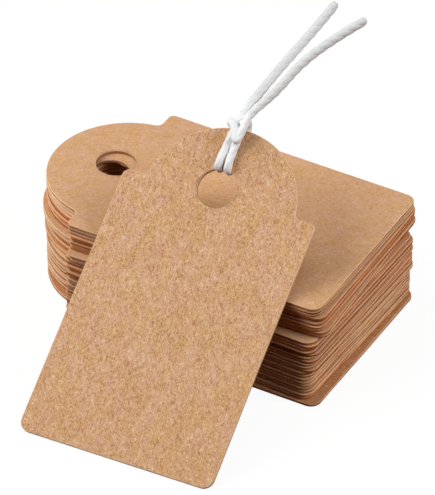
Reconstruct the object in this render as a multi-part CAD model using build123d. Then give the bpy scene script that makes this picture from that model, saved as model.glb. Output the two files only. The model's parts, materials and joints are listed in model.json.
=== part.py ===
from build123d import *
from math import cos, pi, radians, sin, tan
import os

# A stack of loose kraft gift tags, with one more tag leaning on it that carries a tied string.
# Lengths are in millimetres and angles in degrees. The origin lies on the table under the middle
# of the top tag, -X points to the heads of the stacked tags and -Y to the side that is leaned on.

# Tag blank, die cut from card: a square-tailed body, two shoulders and a round head
tag_width = 30.0
tag_length = 50.8
card_thickness = 0.5
head_height = 10.3
shoulder_width = 3.25
tail_corner_radius = 1.6
shoulder_corner_radius = 0.9
neck_radius = 1.0
hole_diameter = 5.9
hole_drop = 9.3
hole_offset = 0.85

# Stack, in groups of tags from the top down that were pushed about together
card_air = 0.05
group_counts = (3, 5, 2, 7, 3, 9, 1)
group_tail_shares = (0.0, 0.006, 0.002, 0.002, 0.003, -0.008, 0.023)
group_far_shares = (0.0, 0.003, -0.015, -0.015, -0.008, -0.006, -0.041)
group_turns = (0.0, 0.9, 3.0, -1.0, -1.5, -1.8, 0.0)

# Each tag also lies a little off its group, by this much times the group's looseness
group_loose_shares = (0.0, 0.8, 0.3, 1.0, 0.6, 0.35, 0.0)
scatter_share = 0.006
scatter_turn = 0.3
scatter_steps = (2.4, 3.7, 5.1)

# Leaning tag: the slope of its face, its turn about the vertical and the middle of its foot
lean_slope = 34.66
lean_turn = 3.18
lean_foot_x = 7.1

# String, through the leaning tag's hole and hitched round its head. The route runs from one cut end
# to the other and is given across, up and out from the middle of the leaning face's foot.
string_diameter = 1.1
bend_share = 0.45
string_route = [
    (2.3, 74.9, -7.5),
    (1.45, 69.2, -5.5),
    (0.2, 63.3, -3.4),
    (-1.5, 57.5, -1.35),
    (-1.62, 52.4, 0.75),
    (-1.8, 43.4, 0.95),
    (-1.8, 43.4, -1.45),
    (-2.95, 51.4, -1.45),
    (-2.95, 51.4, 2.1),
    (0.95, 51.4, 2.1),
    (0.95, 51.4, -1.45),
    (-0.2, 43.4, -1.45),
    (-0.2, 43.4, 0.95),
    (-0.38, 52.4, 0.75),
    (0.4, 57.7, -1.42),
    (2.0, 63.6, -3.5),
    (4.6, 69.2, -5.5),
    (7.7, 73.6, -7.1),
]

stack_tags = sum(group_counts)
card_pitch = card_thickness + card_air
stack_height = stack_tags * card_pitch - card_air


def tag_blank():
    """The die-cut tag, face up: its tail edge on X, its head towards +Y and its hole right of the middle."""
    shoulder_height = tag_length - head_height
    head_radius = tag_width / 2 - shoulder_width
    shoulder_middle = (tag_width - shoulder_width) / 2
    body = Pos(0, shoulder_height / 2) * Rectangle(tag_width, shoulder_height)
    # the circle is turned so that its seam lies inside the body
    head = Pos(0, tag_length - head_radius) * Rot(0, 0, -90) * Circle(head_radius)
    face = body + head
    rounds = [
        (tail_corner_radius, lambda v: v.Y < shoulder_height / 2),
        (shoulder_corner_radius, lambda v: v.Y > shoulder_height / 2 and abs(v.X) > shoulder_middle),
        (neck_radius, lambda v: v.Y > shoulder_height / 2 and abs(v.X) < shoulder_middle),
    ]
    for radius, is_corner in rounds:
        face = fillet(face.vertices().filter_by(is_corner), radius)
    face -= Pos(hole_offset, tag_length - hole_drop) * Circle(hole_diameter / 2)
    return extrude(face, card_thickness)


def stack_places():
    """From the top tag down: each tag's shift along X and Y, its turn and its underside's height."""
    places = []
    groups = zip(group_counts, group_tail_shares, group_far_shares, group_turns, group_loose_shares)
    for count, tail_share, far_share, turn, loose_share in groups:
        for _ in range(count):
            number = len(places)
            along, across, twist = (loose_share * sin(number * step) for step in scatter_steps)
            places.append(
                (
                    tag_width * (tail_share + scatter_share * along),
                    tag_width * (far_share + scatter_share * across),
                    turn + scatter_turn * twist,
                    (stack_tags - 1 - number) * card_pitch,
                )
            )
    return places


def stacked(blank, place):
    """The blank laid flat in the stack, with its head towards -X."""
    shift_x, shift_y, turn, height = place
    centred = Pos(0, -tag_length / 2) * blank
    return Pos(shift_x, shift_y, height) * Rot(0, 0, 90 + turn) * centred


def leaning_plane():
    """The leaning tag's face, which rests its back on the near top edge of the stack."""
    slope_sin, slope_cos = sin(radians(lean_slope)), cos(radians(lean_slope))
    turn_sin, turn_cos = sin(radians(lean_turn)), cos(radians(lean_turn))
    foot_z = card_thickness * slope_cos
    rise = stack_height - foot_z
    # the face's right edge crosses the stack's top edge this far from the middle of the foot
    contact_x = turn_cos * tag_width / 2 - turn_sin * rise * slope_cos / slope_sin
    depth = card_thickness + card_air + slope_sin * turn_sin * contact_x + slope_cos * rise
    foot_y = -tag_width / 2 - depth / (slope_sin * turn_cos)
    return Plane(
        origin=(lean_foot_x, foot_y, foot_z),
        x_dir=(turn_cos, turn_sin, 0),
        z_dir=(slope_sin * turn_sin, -slope_sin * turn_cos, slope_cos),
    )


def bend_radii(points):
    """The largest even bend at each inner point of a route, from the shorter of its two runs."""
    radii = []
    for before, here, after in zip(points, points[1:], points[2:]):
        run_in, run_out = here - before, after - here
        half_turn = radians(run_in.get_angle(run_out)) / 2
        radii.append(bend_share * min(run_in.length, run_out.length) / tan(half_turn))
    return radii


def tied_string(face_plane):
    """The string as one tube: tail, front leg, back leg, bight, back leg, front leg and tail."""
    points = [face_plane.from_local_coords(Vector(*point)) for point in string_route]
    radii = bend_radii(points)
    path = FilletPolyline(*points, radius=radii)
    section = Plane(origin=path @ 0, z_dir=path % 0) * Circle(string_diameter / 2)
    tube = sweep(section, path=path)
    ideal = path.length * pi * string_diameter**2 / 4
    print("string bend radii", [round(radius, 2) for radius in radii])
    print(f"string length {path.length:.2f}, volume {tube.volume:.3f} of {ideal:.3f}")
    return tube


blank = tag_blank()
face_plane = leaning_plane()
turned_over = Pos(0, 0, card_thickness) * Rot(0, 180, 0) * blank
leaning_tag = face_plane * Pos(0, 0, -card_thickness) * turned_over
parts = {"leaning_tag": leaning_tag, "string": tied_string(face_plane)}
# the second tag from the top is turned over too, so its hole lies aside of those around it
for number, place in enumerate(stack_places()):
    tag = turned_over if number == 1 else blank
    parts[f"tag_{stack_tags - number:02d}"] = stacked(tag, place)

os.makedirs("parts", exist_ok=True)
for name, solid in parts.items():
    export_step(solid, f"parts/{name}.step")
foot = face_plane.origin
print(f"stack height {stack_height:.2f}, leaning foot {foot.X:.3f} {foot.Y:.3f} {foot.Z:.3f}")
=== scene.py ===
import bpy
import json
import numpy as np
from math import ceil, cos, pi, radians, sin, sqrt, tau
from mathutils import Matrix, Vector, geometry, noise

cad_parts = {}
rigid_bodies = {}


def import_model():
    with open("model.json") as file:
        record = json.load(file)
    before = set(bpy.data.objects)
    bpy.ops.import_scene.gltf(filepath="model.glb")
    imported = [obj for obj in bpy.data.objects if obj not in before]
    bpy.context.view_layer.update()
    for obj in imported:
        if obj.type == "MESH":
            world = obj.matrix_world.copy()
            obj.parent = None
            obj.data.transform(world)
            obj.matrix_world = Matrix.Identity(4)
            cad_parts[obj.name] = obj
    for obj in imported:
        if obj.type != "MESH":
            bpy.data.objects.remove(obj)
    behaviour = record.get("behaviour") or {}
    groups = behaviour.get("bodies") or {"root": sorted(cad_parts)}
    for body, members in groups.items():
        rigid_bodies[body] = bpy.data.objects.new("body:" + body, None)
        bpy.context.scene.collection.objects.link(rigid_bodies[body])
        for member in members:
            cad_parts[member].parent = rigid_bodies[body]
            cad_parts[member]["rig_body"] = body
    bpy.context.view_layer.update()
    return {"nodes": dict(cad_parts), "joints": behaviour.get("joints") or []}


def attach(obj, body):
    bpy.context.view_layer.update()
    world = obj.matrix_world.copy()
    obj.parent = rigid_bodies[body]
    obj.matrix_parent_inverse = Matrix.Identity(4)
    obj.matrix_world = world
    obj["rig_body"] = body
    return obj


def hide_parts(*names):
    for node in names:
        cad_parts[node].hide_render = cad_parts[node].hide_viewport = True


# A loose stack of kraft gift tags and one strung tag that leans on it. Lengths are in metres, and those
# named with _mm are in millimetres. Each tag is dressed in the place that its node has in the frame.

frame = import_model()
MM = 0.001

# Tag blank, as it is die cut
card_thickness_mm = 0.5
head_height = 10.3 * MM
shoulder_width = 3.25 * MM
tail_corner_radius = 1.6 * MM
shoulder_corner_radius = 0.9 * MM
neck_radius = 1.0 * MM
hole_radius = 2.95 * MM
hole_drop = 9.3 * MM
hole_offset = 0.85 * MM
# the side of the middle line on which the hole lies
face_up = 1
turned_over = -1

# Points on a tag's curves, and the distance between those on its straight runs and faces
tail_corner_steps = 8
shoulder_steps = 6
head_steps = 56
hole_steps = 44
leaning_spacing = 1.0 * MM
stack_spacing = 2.4 * MM
face_margin_share = 0.7
merge_distance = 1e-9
# the kind of triangulation that keeps what lies inside its outer edges
triangles_inside = 1

# Cut edge, from the underside up: how far each row lies in from the outline, its share of the card's
# thickness, and how far it is cut wall and not face. The die rounds the upper edge more than the lower one.
edge_rows = [
    (0.2 * MM, 0.0, 0.0),
    (0.04 * MM, 0.0, 1.0),
    (0.01 * MM, 0.03, 1.0),
    (0.0, 0.1, 1.0),
    (0.0, 0.7, 1.0),
    (0.0, 0.84, 0.6),
    (0.02 * MM, 0.94, 0.5),
    (0.06 * MM, 0.99, 0.4),
    (0.11 * MM, 1.0, 0.0),
    (0.26 * MM, 1.0, 0.0),
]
edge_raggedness = 0.012 * MM
edge_ragged_length = 0.5 * MM

# The leaning card lifts towards its right edge, from a little left of its middle
lean_bow = 0.9 * MM
lean_bow_start = 0.1

# Stacked cards are a little wavy, well inside the air between them: across, along and from card to card
wave_height = 0.018 * MM
wave_scales = (2.2, 3.4, 3.7)

# The lower tags lie tight on each other and the upper ones loose: the most air that opens under a card
tight_tags = 10
tight_air = 0.18 * MM
loose_air = 0.3 * MM
# the air closes towards the head, and opens and closes across, along and from card to card
air_closing = 1.2
least_air_share = 0.05
air_scales = (1.6, 2.4, 5.3)
air_start = 40
air_middle = 0.45
air_swing = 1.3

# Where across a stacked card its cut edge begins to darken with painted shade towards the leaned-on side
near_start = -0.4
near_run = 0.08
# tags whose cut edges are redder, counted from the bottom
red_tags = [*range(14, 21), *range(23, 28)]

# String
string_diameter = 1.2 * MM
string_plies = 3
ply_radius = 0.475 * MM
ply_pitch = 5.0 * MM
ply_sides = 14
ply_shift_mm = 40
ring_step = 0.14 * MM
line_resolution = 24
# where it is pulled against the hole's edge, up and out from the foot, and how flat it gets there
pinch_up = 44.2 * MM
pinch_out = -0.25 * MM
pinch_reach = 0.9 * MM
pinch_share = 0.5
# beyond the hitch the string swells
hitch_up = 52.0 * MM
tail_swell_run = 5.0 * MM
tail_swell = 1.14
# at its two cut ends the plies draw together and round off
end_draw_share = 0.8
end_draw_run = 0.35 * MM
end_round_run = 0.7 * MM
least_end_share = 0.02

# Camera, fitted to the outlines of the two tags that the photograph shows whole
photo_height = 495
focal_px = 5221.25
camera_place = Vector((0.29078, -0.51466, 0.46704))
camera_azimuth = radians(-29.381)
camera_elevation = radians(37.84)
camera_roll = radians(0.2)
centre_off_px = (-0.58, -0.04)
nearest_seen = 0.01
farthest_seen = 10.0


def photo_camera():
    """The camera at the photograph's viewing angle."""
    lens = bpy.data.cameras.new("photo_camera")
    camera = bpy.data.objects.new("photo_camera", lens)
    bpy.context.scene.collection.objects.link(camera)
    level = cos(camera_elevation)
    ahead = Vector((level * sin(camera_azimuth), level * cos(camera_azimuth), -sin(camera_elevation)))
    right = Vector((cos(camera_azimuth), -sin(camera_azimuth), 0))
    up = right.cross(ahead)
    rolled_right = cos(camera_roll) * right + sin(camera_roll) * up
    rolled_up = cos(camera_roll) * up - sin(camera_roll) * right
    turn = Matrix((rolled_right, rolled_up, -ahead)).transposed()
    camera.matrix_world = Matrix.Translation(camera_place) @ turn.to_4x4()
    lens.lens = focal_px * lens.sensor_width / photo_height
    lens.shift_x = -centre_off_px[0] / photo_height
    lens.shift_y = centre_off_px[1] / photo_height
    lens.clip_start = nearest_seen
    lens.clip_end = farthest_seen
    bpy.context.scene.camera = camera


# Where the frame puts the tags

lean_joint = next(joint for joint in frame["joints"] if joint["name"] == "lean")
draw_ways = {joint["child"]: Vector(joint["axis"]) for joint in frame["joints"] if joint["type"] == "slide"}


def body_of(node):
    return frame["nodes"][node]["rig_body"]


def tag_axes(node):
    """A tag's directions: across it, along it to its head, and out of its upper face."""
    if node == "leaning_tag":
        across = Vector(lean_joint["axis"]).normalized()
        faces = frame["nodes"][node].data.polygons
        out = max(faces, key=lambda face: face.area).normal.copy()
        if out.z < 0:
            out.negate()
        return across, out.cross(across), out
    out = Vector((0, 0, 1))
    head = -draw_ways.get(body_of(node), Vector((1, 0, 0))).normalized()
    return head.cross(out), head, out


def tag_place(node):
    """The matrix from a tag's own axes to the frame, with its origin under the tail edge, and its size."""
    axes = Matrix(tag_axes(node))
    points = np.array([axes @ vertex.co for vertex in frame["nodes"][node].data.vertices])
    low = points.min(0)
    high = points.max(0)
    origin = Vector(((low[0] + high[0]) / 2, low[1], low[2]))
    turn = axes.transposed()
    return Matrix.Translation(turn @ origin) @ turn.to_4x4(), Vector(high - low)


def leaning_place():
    """The matrix from the leaning face's own axes to the frame, with its origin at the foot."""
    turn = Matrix(tag_axes("leaning_tag")).transposed()
    return Matrix.Translation(Vector(lean_joint["pos_m"])) @ turn.to_4x4()


# Shader maths

class Wire:
    """A socket in a material. Sums with it add Math nodes."""

    def __init__(self, board, socket):
        self.board = board
        self.socket = socket

    def reckon(self, operation, first, second=0.0):
        return self.board.add("ShaderNodeMath", {"operation": operation}, {0: first, 1: second})

    def __add__(self, other):
        return self.reckon("ADD", self, other)

    def __radd__(self, other):
        return self.reckon("ADD", other, self)

    def __sub__(self, other):
        return self.reckon("SUBTRACT", self, other)

    def __rsub__(self, other):
        return self.reckon("SUBTRACT", other, self)

    def __mul__(self, other):
        return self.reckon("MULTIPLY", self, other)

    def __rmul__(self, other):
        return self.reckon("MULTIPLY", other, self)

    def __truediv__(self, other):
        return self.reckon("DIVIDE", self, other)

    def __rtruediv__(self, other):
        return self.reckon("DIVIDE", other, self)

    def __abs__(self):
        return self.reckon("ABSOLUTE", self)

    def larger(self, other):
        return self.reckon("MAXIMUM", self, other)

    def between(self, low, high):
        """0 below low, 1 above high and a smooth rise in between."""
        settings = {"interpolation_type": "SMOOTHSTEP"}
        inputs = {"Value": self, "From Min": low, "From Max": high}
        return self.board.add("ShaderNodeMapRange", settings, inputs)


class Board:
    """The nodes of a material or of the world, added one by one."""

    def __init__(self, tree):
        self.tree = tree
        tree.nodes.clear()

    def add(self, kind, settings=None, inputs=None, output=0):
        """Adds a node, sets it up, fills or links its sockets and gives one output back."""
        node = self.tree.nodes.new(kind)
        for name, value in (settings or {}).items():
            setattr(node, name, value)
        for name, value in (inputs or {}).items():
            if isinstance(value, Wire):
                self.tree.links.new(value.socket, node.inputs[name])
            else:
                node.inputs[name].default_value = value
        return Wire(self, node.outputs[output]) if node.outputs else node

    def mark(self, name, output="Fac"):
        """What a mesh says of its points under a name."""
        return self.add("ShaderNodeAttribute", {"attribute_name": name}, None, output)

    def blend(self, share, first, second):
        """Two colours mixed by a share."""
        settings = {"data_type": "RGBA"}
        return self.add("ShaderNodeMix", settings, {"Factor": share, 6: first, 7: second}, 2)

    def stretched(self, vector, scale):
        return self.add("ShaderNodeVectorMath", {"operation": "MULTIPLY"}, {0: vector, 1: scale})

    def moved(self, vector, step):
        return self.add("ShaderNodeVectorMath", {"operation": "ADD"}, {0: vector, 1: step})

    def turned(self, vector, degrees):
        """A vector turned about the third axis."""
        settings = {"rotation_type": "Z_AXIS"}
        return self.add("ShaderNodeVectorRotate", settings, {"Vector": vector, "Angle": radians(degrees)})

    def cloud(self, vector, scale=1.0, detail=2.0, roughness=0.5, distortion=0.0):
        """Soft noise about 0.5."""
        inputs = {"Vector": vector, "Scale": scale, "Detail": detail, "Roughness": roughness,
                  "Distortion": distortion}
        return self.add("ShaderNodeTexNoise", None, inputs)

    def surface(self, shader):
        self.add("ShaderNodeOutputMaterial", None, {"Surface": shader})


def new_board(name):
    material = bpy.data.materials.new(name)
    material.use_nodes = True
    return material, Board(material.node_tree)


# Kraft card

# Colours of the face
ochre = (0.69, 0.388, 0.17, 1.0)
pink = (0.715, 0.406, 0.24, 1.0)
# painted shade that browns the face of the bottom card, whose ledge lies in the stack's shade
ledge_shade_brown = (0.5, 0.187, 0.052, 1.0)
pale_fibre = (0.86, 0.635, 0.41, 1.0)
dark_fibre = (0.42, 0.15, 0.045, 1.0)
pale_hair = (0.95, 0.77, 0.56, 1.0)
dark_speck = (0.34, 0.16, 0.07, 1.0)

# Colours of the cut edge, and how far they cover it
# painted shade: the cut edge turns redder towards the tail
tail_shade_tint = (1.05, 0.86, 0.7)
# painted shade on the walls of the punched hole, as if down in its shade
hole_wall_shade = (0.4, 0.16, 0.06, 1.0)
hole_shade_share = 0.85
shaded_wall = (0.34, 0.1, 0.022, 1.0)
shaded_share = 0.55
# painted highlight along the rounded upper rim of the cut edge
rim_highlight_paint = (0.95, 0.66, 0.42, 1.0)
rim_share = 0.8
# the rim is a painted highlight where the cut edge turns into the face;
# it is weaker in the hole and on the shaded side
rim_middle = 0.48
rim_reach = 0.4
rim_lost_punched = 0.7
rim_lost_shaded = 0.6

# Lay of the fibres: their turn from the tag's length in degrees, and the stretch or place of each noise
grain_turn = -15
fibre_stretch = (1.0, 0.5, 1.0)
fine_stretch = (1.0, 0.3, 1.0)
mottle_stretch = (1.0, 0.7, 1.0)
patch_place = (31.0, 7.0, 0.0)
break_place = (9.0, 29.0, 0.0)

# Curled fibres: their place in the noise, how many to the millimetre, their twist and their thinness
pale_curl = ((3.0, 11.0, 0.0), 1.0, 1.8, (0.92, 0.985))
dark_curl = ((23.0, 41.0, 0.0), 1.1, 1.8, (0.92, 0.985))
fine_pale_curl = ((57.0, 5.0, 0.0), 2.3, 1.2, (0.86, 0.97))
long_pale_curl = ((17.0, 8.0, 0.0), 1.7, 1.5, (0.88, 0.98))
fine_dark_curl = ((71.0, 19.0, 0.0), 2.4, 1.2, (0.86, 0.97))
long_dark_curl = ((37.0, 61.0, 0.0), 1.8, 1.5, (0.88, 0.98))
hair_curl = ((13.0, 2.0, 0.0), 0.5, 2.0, (0.97, 0.995))
# where the curls break off, and the hairs, which are rarer
curl_break = (0.42, 0.56)
hair_break = (0.55, 0.68)
# dark specks: how many to the millimetre, and how large
speck_scale = 0.6
speck_reach = (0.05, 0.1)

# How far each kind lightens or darkens the face, and the tone at which that is complete
mottle_weight = 4.6
grain_weight = 0.05
fine_weight = 0.34
patch_weight = 0.04
fine_curl_weight = 0.19
pale_curl_weight = 0.16
dark_curl_weight = 0.1
full_tone = 0.42
hair_share = 0.5
speck_share = 0.45

# Paleness of the cut edge: by its plies, by the sheet that the card was cut from, and by the height in
# the card, which is painted shade, darker low down in the gap under the card and paler at its top. The
# values named for the tail are added to the others towards the tail, where they paint the edge in shade:
# darker, redder and with more contrast.
ply_stretch = (0.8, 0.8, 7.0)
sheet_stretch = (0.06, 0.06, 0.0)
ply_weight = 1.3
sheet_weight = 2.6
edge_contrast = 0.8
tail_shade_contrast = 0.6
edge_shade_rise = 0.15
tail_shade_rise = 1.3
edge_paleness = 0.65
tail_shade_darkening = 0.15

# Sheen and relief
card_roughness = 0.86
roughness_swing = 0.2
card_specular = 0.25
grain_relief = 0.25
fine_relief = 0.3
fine_curl_relief = 0.5
pale_curl_relief = 0.8
dark_curl_relief = 0.5
ply_relief = 0.6
relief_strength = 0.75
relief_depth = 0.05 * MM


def curls(board, vector, kind):
    """Thin lines that wander: where a distorted cloud crosses its middle."""
    place, scale, twist, thinness = kind
    cloud = board.cloud(board.moved(vector, place), scale, detail=1.0, distortion=twist)
    return (1 - abs(cloud * 2 - 1)).between(*thinness)


def edge_colour(board, lay, plies, raw_dark_and_shade, raw_pale):
    """The colour of the cut edge, which is redder at the tail and darker on the side that is leaned on."""
    tail = board.mark("tail")
    sheet = board.cloud(board.stretched(lay, sheet_stretch), detail=1.0)
    level = board.add("ShaderNodeSeparateXYZ", None, {"Vector": lay}, "Z") / card_thickness_mm
    paleness = (plies - 0.5) * ply_weight + (sheet - 0.5) * sheet_weight
    # painted shade towards the tail: more contrast, a stronger dark-to-pale rise with height, and darker
    paleness = paleness * (tail * tail_shade_contrast + edge_contrast)
    # painted shade: lower in the card the edge darkens, as down in the gap, and higher up it pales
    paleness = paleness + (level - 0.5) * (tail * tail_shade_rise + edge_shade_rise)
    paleness = paleness + edge_paleness - tail * tail_shade_darkening
    colour = board.blend(paleness.between(0.0, 1.0), raw_dark_and_shade, raw_pale)
    # painted shade: redder towards the tail
    colour = board.blend(tail, colour, board.stretched(colour, tail_shade_tint))
    # painted shade on the walls of the hole
    colour = board.blend(board.mark("punched") * hole_shade_share, colour, hole_wall_shade)
    # painted shade on the side that is leaned on
    return board.blend(board.mark("near") * shaded_share, colour, shaded_wall)


def kraft_card(name, contrast, raw_dark_and_shade, raw_pale, ledge_shade_share=0.0):
    """Uncoated kraft card: a mottled tan sheet of short curled fibres, with raw cut edges."""
    material, board = new_board(name)
    lay = board.mark("lay_mm", "Vector")
    cut = board.mark("cut")
    grain_way = board.turned(lay, grain_turn)
    along = board.stretched(grain_way, fibre_stretch)

    mottle = board.cloud(board.stretched(lay, mottle_stretch), scale=0.6)
    patches = board.cloud(board.moved(lay, patch_place), scale=0.2, detail=1.0)
    grain = board.cloud(along, scale=5.0, roughness=0.6, distortion=0.3)
    fine_way = board.stretched(grain_way, fine_stretch)
    fine = board.cloud(fine_way, scale=11.0, detail=1.0, roughness=0.6, distortion=0.4)
    breaks = board.cloud(board.moved(lay, break_place), scale=1.1, detail=1.0)
    pale_curls = curls(board, along, pale_curl) * breaks.between(*curl_break)
    dark_curls = curls(board, along, dark_curl) * (1 - breaks).between(*curl_break)
    fine_curls = curls(board, along, fine_pale_curl) + curls(board, along, long_pale_curl)
    fine_curls = fine_curls - curls(board, along, fine_dark_curl) - curls(board, along, long_dark_curl)
    hairs = curls(board, along, hair_curl) * breaks.between(*hair_break)
    dots = board.add("ShaderNodeTexVoronoi", {"feature": "F1"}, {"Vector": lay, "Scale": speck_scale})
    specks = 1 - dots.between(*speck_reach)

    colour = board.blend((mottle - 0.5) * contrast * mottle_weight + 0.5, ochre, pink)
    # painted shade on the face, for the bottom card
    colour = board.blend(ledge_shade_share, colour, ledge_shade_brown)
    tone = (grain - 0.5) * grain_weight + (fine - 0.5) * fine_weight + (patches - 0.5) * patch_weight
    tone = tone + fine_curls * fine_curl_weight + pale_curls * pale_curl_weight
    tone = (tone - dark_curls * dark_curl_weight) * contrast
    colour = board.blend(tone.between(0.0, full_tone), colour, pale_fibre)
    colour = board.blend((0 - tone).between(0.0, full_tone), colour, dark_fibre)
    colour = board.blend(hairs * hair_share * contrast, colour, pale_hair)
    colour = board.blend(specks * speck_share * contrast, colour, dark_speck)

    plies = board.cloud(board.stretched(lay, ply_stretch), roughness=0.6)
    colour = board.blend(cut, colour, edge_colour(board, lay, plies, raw_dark_and_shade, raw_pale))
    # painted highlight on the rim, weaker in the hole and on the side that is leaned on
    rim = (1 - abs(cut - rim_middle) / rim_reach).larger(0.0)
    rim = rim * (1 - board.mark("punched") * rim_lost_punched) * (1 - board.mark("near") * rim_lost_shaded)
    colour = board.blend(rim * rim_share, colour, rim_highlight_paint)

    roughness = card_roughness + (grain - 0.5) * roughness_swing
    height = grain * grain_relief + fine * fine_relief + fine_curls * fine_curl_relief
    height = height + pale_curls * pale_curl_relief - dark_curls * dark_curl_relief
    height = height + plies * cut * ply_relief
    relief = {"Strength": relief_strength * contrast, "Distance": relief_depth, "Height": height}
    bump = board.add("ShaderNodeBump", None, relief)
    inputs = {"Base Color": colour, "Roughness": roughness, "Normal": bump,
              "Specular IOR Level": card_specular}
    board.surface(board.add("ShaderNodeBsdfPrincipled", None, inputs))
    return material


# Cotton

cotton_dull = (0.88, 0.89, 0.9, 1.0)
cotton_bright = (0.93, 0.93, 0.93, 1.0)
streak_stretch = (0.9, 7.0, 7.0)
streak_reach = (0.3, 0.7)
lint_colour = (0.84, 0.85, 0.86, 1.0)
lint_reach = (0.45, 0.75)
lint_share = 0.3
# painted shade in the grooves between the plies
groove_shade_colour = (0.7, 0.7, 0.71, 1.0)
groove_shade_weight = 0.2
# the loose tails are a little greyer than the pulled legs
loose_colour = (0.7, 0.705, 0.71, 1.0)
loose_share = 0.75
cotton_relief = {"Strength": 0.05, "Distance": 0.04 * MM}
cotton_finish = {"Roughness": 0.9, "Specular IOR Level": 0.2, "Sheen Weight": 0.1}


def cotton_string():
    """Soft white cotton, with fibres that run along each ply."""
    material, board = new_board("cotton_string")
    ply = board.mark("ply_mm", "Vector")
    streaks = board.cloud(board.stretched(ply, streak_stretch), detail=3.0, roughness=0.6)
    lint = board.cloud(ply, scale=1.1)
    colour = board.blend(streaks.between(*streak_reach), cotton_dull, cotton_bright)
    colour = board.blend(lint.between(*lint_reach) * lint_share, colour, lint_colour)
    # painted shade in the grooves between the plies
    colour = board.blend(board.mark("painted_groove_shade") * groove_shade_weight, colour, groove_shade_colour)
    colour = board.blend(board.mark("loose") * loose_share, colour, loose_colour)
    bump = board.add("ShaderNodeBump", None, {**cotton_relief, "Height": streaks})
    inputs = {**cotton_finish, "Base Color": colour, "Normal": bump}
    board.surface(board.add("ShaderNodeBsdfPrincipled", None, inputs))
    return material


# Marks on a mesh's points, which the materials read

def mark_numbers(mesh, name, numbers):
    mesh.attributes.new(name, "FLOAT", "POINT").data.foreach_set("value", numbers)


def mark_vectors(mesh, name, vectors):
    mesh.attributes.new(name, "FLOAT_VECTOR", "POINT").data.foreach_set("vector", np.ravel(vectors))


# Tags

def arc(centre, radius, start, end, steps):
    """Points on an arc, without its last one. Angles are in degrees."""
    points = []
    for step in range(steps):
        angle = radians(start + (end - start) * step / steps)
        points.append(Vector((centre[0] + radius * cos(angle), centre[1] + radius * sin(angle))))
    return points


def run(start, end, spacing):
    """Points on a straight run, without its last one."""
    start = Vector(start)
    end = Vector(end)
    count = max(1, ceil((end - start).length / spacing))
    return [start.lerp(end, step / count) for step in range(count)]


def tag_outline(size, inset, spacing):
    """The blank's outline, drawn in by an inset, from the tail edge round to the head and back."""
    half = size.x / 2 - inset
    tail = inset
    shoulder = size.y - head_height - inset
    head_radius = size.x / 2 - shoulder_width - inset
    head_centre = size.y - (size.x / 2 - shoulder_width)
    tail_round = tail_corner_radius - inset
    shoulder_round = shoulder_corner_radius - inset
    neck = neck_radius + inset
    # the neck's arc touches the shoulder from above and the head from outside
    neck_y = shoulder + neck
    neck_x = sqrt((head_radius + neck) ** 2 - (neck_y - head_centre) ** 2)
    touch = np.degrees(np.arctan2(neck_y - head_centre, neck_x))
    points = run((0, tail), (half - tail_round, tail), spacing)
    points += arc((half - tail_round, tail + tail_round), tail_round, -90, 0, tail_corner_steps)
    points += run((half, tail + tail_round), (half, shoulder - shoulder_round), spacing)
    points += arc((half - shoulder_round, shoulder - shoulder_round), shoulder_round, 0, 90, shoulder_steps)
    points += run((half - shoulder_round, shoulder), (neck_x, shoulder), spacing)
    points += arc((neck_x, neck_y), neck, 270, 180 + touch, shoulder_steps)
    points += arc((0, head_centre), head_radius, touch, 180 - touch, head_steps)
    points += arc((-neck_x, neck_y), neck, -touch, -90, shoulder_steps)
    points += run((-neck_x, shoulder), (shoulder_round - half, shoulder), spacing)
    points += arc((shoulder_round - half, shoulder - shoulder_round), shoulder_round, 90, 180,
                  shoulder_steps)
    points += run((-half, shoulder - shoulder_round), (-half, tail + tail_round), spacing)
    points += arc((tail_round - half, tail + tail_round), tail_round, 180, 270, tail_corner_steps)
    points += run((tail_round - half, tail), (0, tail), spacing)
    return points


def hole_middle(size, side):
    return side * hole_offset, size.y - hole_drop


def hole_circle(size, side, inset):
    """The punched hole's edge, run the other way round."""
    return arc(hole_middle(size, side), hole_radius + inset, 0, -360, hole_steps)


def inner_points(size, side, spacing):
    """A triangular grid of points inside the outline and clear of the hole."""
    margin = face_margin_share * spacing
    shoulder = size.y - head_height
    head_radius = size.x / 2 - shoulder_width
    hole = Vector(hole_middle(size, side))
    head_centre = Vector((0, size.y - head_radius))
    row_step = spacing * sqrt(3) / 2
    columns = ceil(size.x / spacing)
    points = []
    for row in range(ceil(size.y / row_step)):
        y = row * row_step
        for column in range(-columns, columns + 1):
            point = Vector(((column + 0.5 * (row % 2)) * spacing, y))
            in_body = abs(point.x) < size.x / 2 - margin and margin < y < shoulder - margin
            in_head = (point - head_centre).length < head_radius - margin and y > shoulder / 2
            if (in_body or in_head) and (point - hole).length > hole_radius + margin:
                points.append(point)
    return points


def face_triangles(outer, hole, inner, middle):
    """Triangles of one face, as numbers into the three lists joined end to end."""
    points = outer + hole + inner
    rings = [(0, len(outer)), (len(outer), len(hole))]
    edges = [(start + i, start + (i + 1) % count) for start, count in rings for i in range(count)]
    found = geometry.delaunay_2d_cdt(points, edges, [], triangles_inside, merge_distance)
    origins = [source[0] for source in found[3]]
    triangles = []
    for face in found[2]:
        centre = sum((found[0][i] for i in face), Vector((0, 0))) / 3
        if (centre - middle).length > hole_radius:
            triangles.append([origins[i] for i in face])
    return triangles


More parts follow.
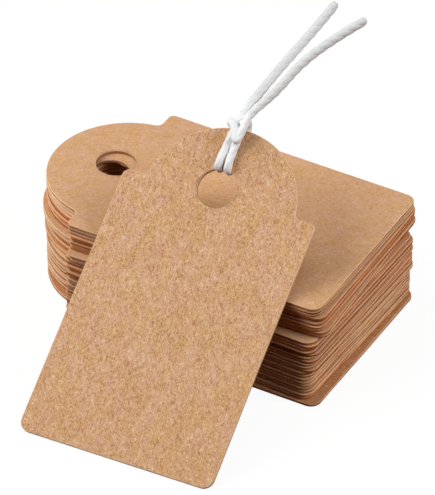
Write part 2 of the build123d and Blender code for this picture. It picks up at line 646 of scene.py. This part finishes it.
def edge_rings(size, side, spacing, seed):
    """The cut edge's points, how far each is wall, if it is in the hole, and the two rings of each row."""
    flat = []
    cut = []
    punched = []
    rings = []
    for inset, height, wall in edge_rows:
        ring = []
        for line, punch in ((tag_outline(size, inset, spacing), 0.0), (hole_circle(size, side, inset), 1.0)):
            ring.append(range(len(flat), len(flat) + len(line)))
            for point in line:
                spot = Vector((point.x, point.y, seed + height * size.z))
                ragged = noise.noise(spot / edge_ragged_length)
                inward = Vector((-point.x, size.y / 2 - point.y)).normalized() * edge_raggedness * ragged
                shift = inward if 0 < height < 1 else Vector((0, 0))
                flat.append(Vector((point.x + shift.x, point.y + shift.y, height * size.z)))
                cut.append(wall)
                punched.append(punch)
        rings.append(ring)
    return flat, cut, punched, rings


def edge_walls(rings):
    """Four-sided faces between each row of the cut edge and the next."""
    walls = []
    for lower, upper in zip(rings, rings[1:]):
        for a, b in zip(lower, upper):
            count = len(a)
            for i in range(count):
                j = (i + 1) % count
                walls.append((a[i], a[j], b[j], b[i]))
    return walls


def card_mesh(node, name, side, spacing, bow, gap, seed):
    """One tag: its faces and cut edges. The bow lifts the whole card and the gap its underside only."""
    place, size = tag_place(node)
    flat, cut, punched, rings = edge_rings(size, side, spacing, seed)
    polygons = edge_walls(rings)
    inner = inner_points(size, side, spacing)
    middle = Vector(hole_middle(size, side))
    for ring, height, upward in ((rings[0], 0.0, False), (rings[-1], size.z, True)):
        outer = [flat[i].xy for i in ring[0]]
        hole = [flat[i].xy for i in ring[1]]
        numbers = [*ring[0], *ring[1], *range(len(flat), len(flat) + len(inner))]
        for point in inner:
            flat.append(Vector((point.x, point.y, height)))
            cut.append(0.0)
            punched.append(0.0)
        for triangle in face_triangles(outer, hole, inner, middle):
            corners = [numbers[i] for i in triangle]
            polygons.append(corners if upward else corners[::-1])

    lifted = []
    for p in flat:
        across = p.x / size.x
        along = p.y / size.y
        lift = bow(across, along) + gap(across, along) * (1 - p.z / size.z)
        lifted.append(place @ Vector((p.x, p.y, p.z + lift)))
    mesh = bpy.data.meshes.new(name)
    mesh.from_pydata(lifted, [], polygons)
    mesh.update()
    mark_vectors(mesh, "lay_mm", np.array([(p.x, p.y + seed * size.y, p.z) for p in flat]) / MM)
    mark_numbers(mesh, "cut", cut)
    mark_numbers(mesh, "punched", punched)
    mark_numbers(mesh, "tail", [1 - p.y / size.y for p in flat])
    # painted shade along the side of the stacked card that the leaning tag shades
    nearness = [min(1.0, max(0.0, near_start - p.x / size.x) / near_run) for p in flat]
    mark_numbers(mesh, "near", [0.0] * len(flat) if node == "leaning_tag" else nearness)
    mesh.shade_smooth()
    return mesh


def lay_tag(node, name, side, spacing, bow, gap, seed, material):
    piece = bpy.data.objects.new(name, card_mesh(node, name, side, spacing, bow, gap, seed))
    bpy.context.scene.collection.objects.link(piece)
    piece.data.materials.append(material)
    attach(piece, body_of(node))
    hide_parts(node)


def leaning_bow(across, along):
    """The leaning card lifts along its right edge, most halfway up."""
    right = max(0.0, across + lean_bow_start) ** 2
    return lean_bow * right * sin(pi * min(1.0, max(0.0, along)))


def no_gap(across, along):
    return 0.0


def stack_bow(seed):
    """How far a stacked card waves up and down."""
    def bow(across, along):
        spot = (across * wave_scales[0], along * wave_scales[1], seed * wave_scales[2])
        return wave_height * noise.noise(Vector(spot))
    return bow


def stack_gap(seed, air):
    """The air under a stacked card, which opens and closes along its edge and is almost gone at the head."""
    def gap(across, along):
        spot = (across * air_scales[0] + air_start, along * air_scales[1], seed * air_scales[2])
        opened = air_middle + air_swing * noise.noise(Vector(spot))
        closing = max(least_air_share, 1 - air_closing * along)
        return air * closing * min(1.0, max(least_air_share, opened))
    return gap


# String

# Points across, up and out from the middle of the leaning face's foot, from one cut end to the other
string_route_mm = [
    (2.4, 74.9, -7.5),
    (1.5, 69.2, -5.5),
    (0.2, 63.3, -3.4),
    (-0.75, 57.5, -1.35),
    (-1.5, 52.2, 0.75),
    (-1.65, 48.5, 0.6),
    (-1.8, 44.2, 0.95),
    (-1.8, 44.2, -1.35),
    (-2.4, 50.7, -1.35),
    (-2.75, 51.5, 0.8),
    (-1.15, 50.4, 1.9),
    (-0.1, 47.8, 1.8),
    (0.1, 50.4, 1.95),
    (-0.15, 52.2, 0.9),
    (-0.3, 51.3, -1.35),
    (-0.3, 44.2, -1.35),
    (-0.3, 44.2, 0.95),
    (-0.55, 48.5, 0.6),
    (-0.65, 52.4, 0.75),
    (1.25, 57.7, -1.42),
    (2.35, 63.6, -3.5),
    (4.95, 69.2, -5.5),
    (7.75, 73.6, -7.1),
]


def string_line():
    """Points along the string's smooth line, in the leaning face's axes."""
    curve = bpy.data.curves.new("string_line", "CURVE")
    curve.dimensions = "3D"
    curve.resolution_u = line_resolution
    spline = curve.splines.new("NURBS")
    spline.points.add(len(string_route_mm) - 1)
    for point, place in zip(spline.points, string_route_mm):
        point.co = (Vector(place) * MM).to_4d()
    spline.order_u = 3
    spline.use_endpoint_u = True
    holder = bpy.data.objects.new("string_line", curve)
    line = bpy.data.meshes.new_from_object(holder)
    points = np.array([vertex.co for vertex in line.vertices])
    bpy.data.objects.remove(holder)
    bpy.data.meshes.remove(line)
    bpy.data.curves.remove(curve)
    return points


def even_steps(points, step):
    """The same line with its points an even step apart, and the distance of each from the start."""
    lengths = np.linalg.norm(np.diff(points, axis=0), axis=1)
    reach = np.concatenate([[0], np.cumsum(lengths)])
    count = int(round(reach[-1] / step)) + 1
    even = np.linspace(0, reach[-1], count)
    return np.stack([np.interp(even, reach, points[:, i]) for i in range(3)], 1), even


def carried_frames(points):
    """A pair of directions square to the line at each point, carried along without twist."""
    ways = np.gradient(points, axis=0)
    ways /= np.linalg.norm(ways, axis=1)[:, None]
    side = Vector(ways[0]).orthogonal().normalized()
    sides = []
    for way in ways:
        way = Vector(way)
        side = (side - way * side.dot(way)).normalized()
        sides.append(side)
    sides = np.array(sides)
    return sides, np.cross(ways, sides)


def string_mesh(points, reach):
    """Three twisted plies along the line, each a round tube that tapers to a soft end."""
    sides, ups = carried_frames(points)
    corners = []
    plies = []
    groove_shade_amounts = []
    looseness = []
    polygons = []
    turn = tau * reach / ply_pitch
    lay_radius = string_diameter / 2 - ply_radius
    # the plies close to a round tip at the two cut ends
    to_end = np.minimum(reach, reach[-1] - reach)
    drawn = 1 - end_draw_share * np.exp(-to_end / end_draw_run)
    from_tip = 1 - np.clip(to_end / end_round_run, 0, 1)
    end_cap = np.sqrt(np.clip(1 - from_tip ** 2, least_end_share, 1))
    # beyond the hitch they lie loose and a little thicker
    loose = np.clip((points[:, 1] - hitch_up) / tail_swell_run, 0, 1)
    slack = 1 + (tail_swell - 1) * loose
    # the hole's edge flattens them
    to_pinch = np.hypot(points[:, 1] - pinch_up, points[:, 2] - pinch_out)
    flat = 1 - (1 - pinch_share) * np.exp(-((to_pinch / pinch_reach) ** 2))
    for ply in range(string_plies):
        angle = turn + tau * ply / string_plies
        radial = np.cos(angle)[:, None] * sides + np.sin(angle)[:, None] * ups
        middle = points + radial * (lay_radius * drawn)[:, None]
        ply_across, ply_up = carried_frames(middle)
        first = len(corners)
        for ring in range(len(points)):
            for corner in range(ply_sides):
                around = tau * corner / ply_sides
                spoke = cos(around) * ply_across[ring] + sin(around) * ply_up[ring]
                offset = (middle[ring] + spoke * ply_radius * end_cap[ring] - points[ring]) * slack[ring]
                offset[1] *= flat[ring]
                corners.append(points[ring] + offset)
                plies.append((reach[ring] / MM + ply_shift_mm * ply, cos(around), sin(around)))
                # how far each point faces the string's middle, where painted shade darkens the groove
                groove_shade_amounts.append(max(0.0, -float(spoke @ radial[ring])))
                looseness.append(loose[ring])
        for ring in range(len(points) - 1):
            for corner in range(ply_sides):
                a = first + ring * ply_sides + corner
                b = first + ring * ply_sides + (corner + 1) % ply_sides
                polygons.append((a, b, b + ply_sides, a + ply_sides))
        last = first + (len(points) - 1) * ply_sides
        polygons.append([first + corner for corner in reversed(range(ply_sides))])
        polygons.append([last + corner for corner in range(ply_sides)])
    mesh = bpy.data.meshes.new("hitched_string")
    mesh.from_pydata(corners, [], polygons)
    mesh.update()
    mark_vectors(mesh, "ply_mm", plies)
    mark_numbers(mesh, "painted_groove_shade", groove_shade_amounts)
    mark_numbers(mesh, "loose", looseness)
    mesh.shade_smooth()
    return mesh


def tie_string():
    """The string, hitched through the leaning tag's hole and round its head."""
    points, reach = even_steps(string_line(), ring_step)
    place = leaning_place()
    piece = bpy.data.objects.new("hitched_string", string_mesh(points, reach))
    piece.data.transform(place)
    bpy.context.scene.collection.objects.link(piece)
    piece.data.materials.append(cotton_string())
    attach(piece, "leaning")
    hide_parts("string")


# Stage

white = (1.0, 1.0, 1.0, 1.0)
floor_reach = 0.3
floor_drop = 0.02 * MM
# the floor as the camera sees it, and the warm light that it throws back on the tags
floor_paint = (0.95, 0.95, 0.95, 1.0)
floor_bounce = (0.15, 0.06, 0.028, 1.0)
floor_glow = 1.03
floor_glow_share = 0.9
sky_light = 0.03

# Soft lamps: the direction that each shines from, and its power
lamp_distance = 0.7
lamp_width = 0.4
lamp_aim = Vector((0, 0, 0.01))
lamps = [
    ("key", (-0.58, -0.52, 0.63), 2.85),
    ("low_left", (-0.9, -0.05, 0.45), 2.1),
    ("top", (0.0, -0.05, 1.0), 0.8),
    ("side", (0.8, 0.1, 0.58), 2.9),
]


def background_ray(board):
    """1 for the rays that should see a white background."""
    rays = [board.add("ShaderNodeLightPath", None, None, name)
            for name in ("Is Camera Ray", "Is Glossy Ray", "Is Transmission Ray")]
    return rays[0].larger(rays[1]).larger(rays[2])


def pale_floor():
    """A white floor that keeps a faint shadow."""
    mesh = bpy.data.meshes.new("floor")
    signs = [(-1, -1), (1, -1), (1, 1), (-1, 1)]
    corners = [(x * floor_reach, y * floor_reach, -floor_drop) for x, y in signs]
    mesh.from_pydata(corners, [], [(0, 1, 2, 3)])
    floor = bpy.data.objects.new("floor", mesh)
    bpy.context.scene.collection.objects.link(floor)
    material, board = new_board("floor_white")
    seen = background_ray(board)
    paint = board.blend(seen, floor_bounce, floor_paint)
    matt = board.add("ShaderNodeBsdfDiffuse", None, {"Color": paint})
    glow = board.add("ShaderNodeEmission", None, {"Color": white, "Strength": floor_glow})
    board.surface(board.add("ShaderNodeMixShader", None, {0: seen * floor_glow_share, 1: matt, 2: glow}))
    mesh.materials.append(material)


def soft_lamp(name, way, watts):
    """A square soft lamp that faces the set from a direction."""
    lamp = bpy.data.lights.new(name, "AREA")
    lamp.size = lamp_width
    lamp.energy = watts
    holder = bpy.data.objects.new(name, lamp)
    bpy.context.scene.collection.objects.link(holder)
    way = Vector(way).normalized()
    holder.location = lamp_aim + way * lamp_distance
    holder.rotation_mode = "QUATERNION"
    holder.rotation_quaternion = (-way).to_track_quat("-Z", "Y")


def studio_light():
    """A white background that lights the set only a little, and the lamps that do the rest."""
    world = bpy.data.worlds.new("studio")
    bpy.context.scene.world = world
    world.use_nodes = True
    board = Board(world.node_tree)
    strength = background_ray(board) * (1 - sky_light) + sky_light
    sky = board.add("ShaderNodeBackground", None, {"Color": white, "Strength": strength})
    board.add("ShaderNodeOutputWorld", None, {"Surface": sky})
    for name, way, watts in lamps:
        soft_lamp(name, way, watts)
    bpy.context.scene.view_settings.view_transform = "Standard"


photo_camera()
tie_string()
# The stacked tags' cut edges run far darker and redder than the strung tag's: their own colour with painted
# shade of the gaps between the cards added in.
leaning_card = kraft_card("leaning_card", contrast=1.0, raw_dark_and_shade=(0.76, 0.48, 0.27, 1.0),
                          raw_pale=(0.97, 0.71, 0.47, 1.0))
red_card = kraft_card("red_card", contrast=0.6, raw_dark_and_shade=(0.38, 0.08, 0.013, 1.0),
                      raw_pale=(0.92, 0.41, 0.16, 1.0))
pale_card = kraft_card("pale_card", contrast=0.6, raw_dark_and_shade=(0.47, 0.12, 0.025, 1.0),
                       raw_pale=(1.0, 0.7, 0.42, 1.0))
# the bottom tag's face is browned with painted shade
bottom_card = kraft_card("bottom_card", contrast=0.7, raw_dark_and_shade=(0.5, 0.2, 0.07, 1.0),
                         raw_pale=(0.78, 0.42, 0.19, 1.0), ledge_shade_share=0.65)
lay_tag("leaning_tag", "strung_tag", turned_over, leaning_spacing, leaning_bow, no_gap, 0, leaning_card)
stack_nodes = sorted(node for node in frame["nodes"] if node not in ("leaning_tag", "string"))
for number, node in enumerate(stack_nodes, 1):
    air = tight_air if number <= tight_tags else loose_air
    card = bottom_card if number == 1 else red_card if number in red_tags else pale_card
    # the second tag from the top lies face down
    side = turned_over if number == len(stack_nodes) - 1 else face_up
    bow = stack_bow(number)
    gap = stack_gap(number, air)
    lay_tag(node, f"stack_{node}", side, stack_spacing, bow, gap, number, card)
pale_floor()
studio_light()
